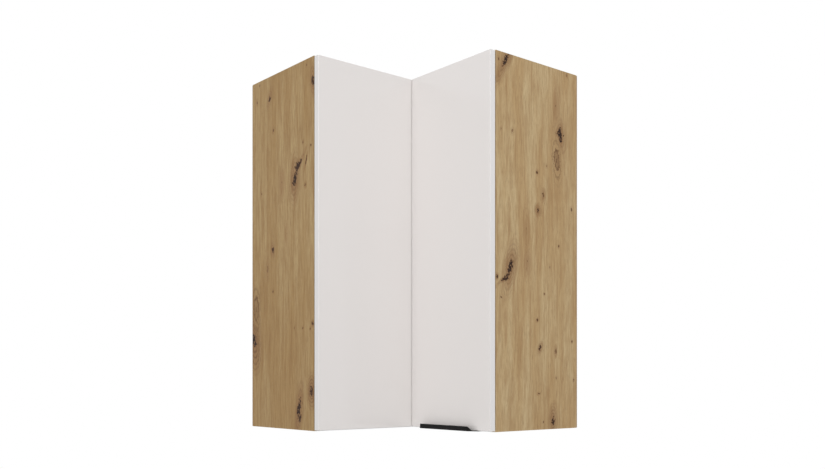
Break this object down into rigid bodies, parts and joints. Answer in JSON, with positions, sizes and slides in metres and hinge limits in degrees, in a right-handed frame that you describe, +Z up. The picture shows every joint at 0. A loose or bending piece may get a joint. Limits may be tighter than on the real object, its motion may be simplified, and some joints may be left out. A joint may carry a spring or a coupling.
{
  "type": "corner wall cabinet",
  "caption": "L-shaped wall cabinet for the corner of a room, with hinged doors that fold open together, loose shelves, wall hangers and a black edge pull.",
  "frame": {"origin": "the corner where the two walls meet, level with the cabinet's underside", "axes": "+Z up; +Y into the wall behind the left wing, which runs towards -X; +X into the wall behind the right wing, which runs towards -Y"},
  "size_m": [0.6, 0.6, 0.9],
  "materials": {
    "oak_decor_board": "matte",
    "oak_decor_edge": "matte",
    "white_board": "matte",
    "white_edge": "matte",
    "hardboard": "matte",
    "bare_wood": "matte",
    "gloss_white_door": "gloss",
    "black_metal": "satin",
    "black_screws": "satin",
    "clear_bumper": "satin",
    "hanger_plastic": "matte",
    "nickel_steel": "satin",
    "zinc_steel": "satin"
  },
  "bodies": {
    "carcass": {"back_panel_nails": "zinc_steel", "bottom_edge_bands": "white_edge", "bottom_panel": "white_board", "cam_bolts": "zinc_steel", "cam_locks": "zinc_steel", "corner_batten": "bare_wood", "door_bumpers": "clear_bumper", "dowels": "bare_wood", "hanger_adjusters": "zinc_steel", "hanger_screws": "zinc_steel", "left_back_panel": "hardboard", "left_hanger_hook": "zinc_steel", "left_hanger_housing": "hanger_plastic", "left_side_edge_band": "oak_decor_edge", "left_side_panel": "oak_decor_board", "lower_shelf": "white_board", "lower_side_hinge_arm": "nickel_steel", "lower_side_hinge_plate": "nickel_steel", "right_back_panel": "hardboard", "right_hanger_hook": "zinc_steel", "right_hanger_housing": "hanger_plastic", "right_side_edge_band": "oak_decor_edge", "right_side_panel": "oak_decor_board", "shelf_edge_bands": "white_edge", "shelf_pins": "zinc_steel", "side_hinge_arm_pins": "zinc_steel", "side_hinge_arm_screws": "zinc_steel", "side_hinge_plate_screws": "zinc_steel", "top_edge_bands": "white_edge", "top_panel": "white_board", "upper_shelf": "white_board", "upper_side_hinge_arm": "nickel_steel", "upper_side_hinge_plate": "nickel_steel"},
    "left_door": {"fold_hinge_arm_screws": "zinc_steel", "fold_hinge_plate_screws": "zinc_steel", "left_door": "gloss_white_door", "lower_fold_hinge_arm": "nickel_steel", "lower_fold_hinge_plate": "nickel_steel", "lower_side_hinge_cup": "nickel_steel", "side_hinge_cup_pins": "zinc_steel", "side_hinge_cup_screws": "zinc_steel", "upper_fold_hinge_arm": "nickel_steel", "upper_fold_hinge_plate": "nickel_steel", "upper_side_hinge_cup": "nickel_steel"},
    "right_door": {"fold_hinge_cup_screws": "zinc_steel", "fold_hinge_pins": "zinc_steel", "lower_fold_hinge_cup": "nickel_steel", "pull_handle": "black_metal", "pull_screws": "black_screws", "right_door": "gloss_white_door", "upper_fold_hinge_cup": "nickel_steel"},
    "hinge_cranks": {"lower_side_hinge_crank": "nickel_steel", "side_hinge_crank_pins": "zinc_steel", "upper_side_hinge_crank": "nickel_steel"},
    "hinge_couplers": {"lower_side_hinge_coupler": "nickel_steel", "upper_side_hinge_coupler": "nickel_steel"}
  },
  "joints": [
    {"name": "left_door_swing", "type": "hinge", "parent": "carcass", "child": "left_door", "pos_m": [-0.5955, -0.3075, 0.45], "axis": [0, 0, -1], "range_deg": [0, 110]},
    {"name": "right_door_fold", "type": "hinge", "parent": "left_door", "child": "right_door", "pos_m": [-0.2985, -0.324, 0.45], "axis": [0, 0, 1], "range_deg": [0, 60]},
    {"name": "hinge_crank_swing", "type": "hinge", "parent": "carcass", "child": "hinge_cranks", "pos_m": [-0.578, -0.2905, 0.45], "axis": [0, 0, -1], "range_deg": [0, 110]},
    {"name": "hinge_coupler_swing", "type": "hinge", "parent": "hinge_cranks", "child": "hinge_couplers", "pos_m": [-0.5545, -0.2805, 0.45], "axis": [0, 0, -1], "range_deg": [-110, 0]}
  ],
  "couplings": [
    {"joint": "right_door_fold", "follows": "left_door_swing", "ratio": 0.54545},
    {"joint": "hinge_crank_swing", "follows": "left_door_swing", "ratio": 1},
    {"joint": "hinge_coupler_swing", "follows": "left_door_swing", "ratio": -1}
  ]
}
